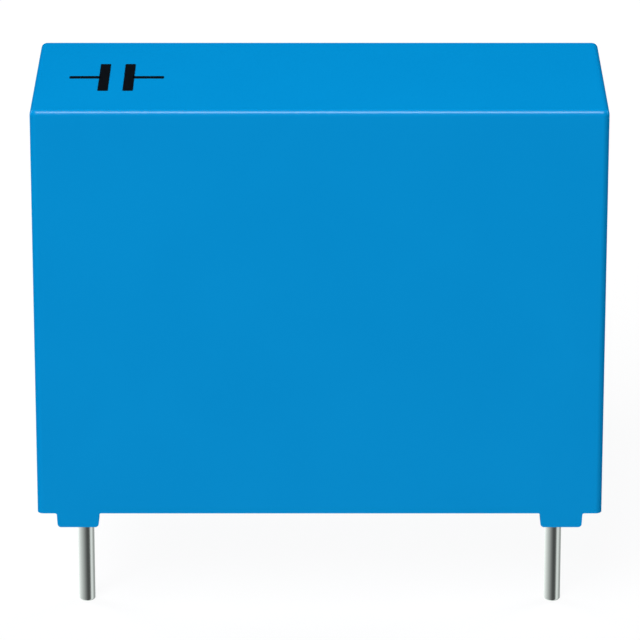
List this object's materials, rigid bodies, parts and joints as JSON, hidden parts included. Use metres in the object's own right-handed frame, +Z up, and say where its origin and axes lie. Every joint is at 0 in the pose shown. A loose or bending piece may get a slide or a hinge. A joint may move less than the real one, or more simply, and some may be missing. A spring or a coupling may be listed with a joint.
{
  "type": "box film capacitor",
  "caption": "Rectangular moulded film capacitor with radial wire leads and stand-off feet, for soldering upright to a circuit board.",
  "frame": {"origin": "midway between the leads, in the plane of the board that the feet stand on", "axes": "+X along the box from the left lead to the right one, the front face looks along -Y, +Z up away from the board"},
  "size_m": [0.0264, 0.011, 0.0265],
  "materials": {
    "case": "fine moulded matt, PBT",
    "potting_resin": "cast epoxy, smooth",
    "film_winding": "metallised polypropylene film",
    "end_spray": "rough sprayed zinc",
    "lead": "bright tinned copper wire"
  },
  "bodies": {
    "root": {"case": "case", "potting_resin": "potting_resin", "film_winding": "film_winding", "end_spray_left": "end_spray", "end_spray_right": "end_spray", "lead_left": "lead", "lead_right": "lead"}
  },
  "joints": []
}
